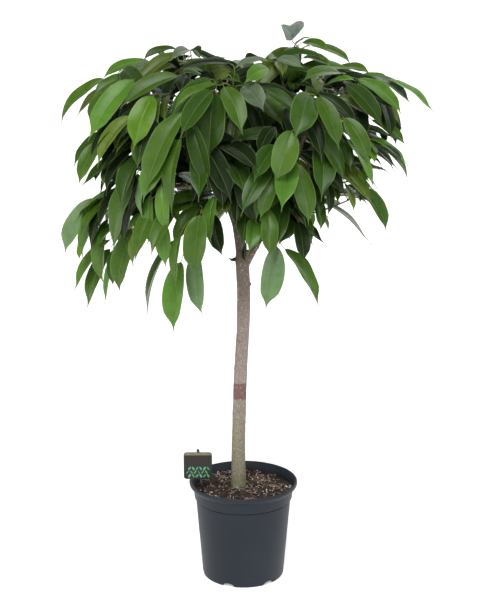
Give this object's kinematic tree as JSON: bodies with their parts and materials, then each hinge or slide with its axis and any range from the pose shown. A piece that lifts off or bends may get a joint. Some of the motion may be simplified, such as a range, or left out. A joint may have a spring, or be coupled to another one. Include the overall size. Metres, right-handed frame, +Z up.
{
  "type": "potted banana leaf fig",
  "caption": "Standard fig tree with long drooping pointed leaves in a domed crown on one clear stem, in a round tapered nursery pot with a plant label.",
  "frame": {"origin": "middle of the pot's base, on the surface that the pot stands on", "axes": "+Z up along the stem; the pictured front faces -Y; +X to the viewer's right"},
  "size_m": [0.7916, 0.6737, 1.2225],
  "materials": {
    "pot": "moulded, satin, anthracite",
    "potting_mix": "rough bark chips and fibre",
    "bark": "smooth grey bark with fine lenticels",
    "leaf": "waxy green leaf, satin",
    "label_card": "printed card, plain motif",
    "label_stake": "moulded, black"
  },
  "bodies": {
    "root": {"label_card": "label_card", "label_stake": "label_stake", "leafy_shoot_01": "leaf", "leafy_shoot_02": "leaf", "leafy_shoot_03": "leaf", "leafy_shoot_04": "leaf", "leafy_shoot_05": "leaf", "leafy_shoot_06": "leaf", "leafy_shoot_07": "leaf", "leafy_shoot_08": "leaf", "leafy_shoot_09": "leaf", "leafy_shoot_10": "leaf", "leafy_shoot_11": "leaf", "leafy_shoot_12": "leaf", "leafy_shoot_13": "leaf", "leafy_shoot_14": "leaf", "leafy_shoot_15": "leaf", "leafy_shoot_16": "leaf", "leafy_shoot_17": "leaf", "leafy_shoot_18": "leaf", "leafy_shoot_19": "leaf", "leafy_shoot_20": "leaf", "leafy_shoot_21": "leaf", "leafy_shoot_22": "leaf", "leafy_shoot_23": "leaf", "leafy_shoot_24": "leaf", "leafy_shoot_25": "leaf", "leafy_shoot_26": "leaf", "leafy_shoot_27": "leaf", "leafy_shoot_28": "leaf", "leafy_shoot_29": "leaf", "leafy_shoot_30": "leaf", "leafy_shoot_31": "leaf", "leafy_shoot_32": "leaf", "leafy_shoot_33": "leaf", "leafy_shoot_34": "leaf", "leafy_shoot_35": "leaf", "leafy_shoot_36": "leaf", "leafy_shoot_37": "leaf", "leafy_shoot_38": "leaf", "leafy_shoot_39": "leaf", "leafy_shoot_40": "leaf", "leafy_shoot_41": "leaf", "leafy_shoot_42": "leaf", "leafy_shoot_43": "leaf", "leafy_shoot_44": "leaf", "leafy_shoot_45": "leaf", "nursery_pot": "pot", "potting_mix": "potting_mix", "trunk": "bark"}
  },
  "joints": []
}
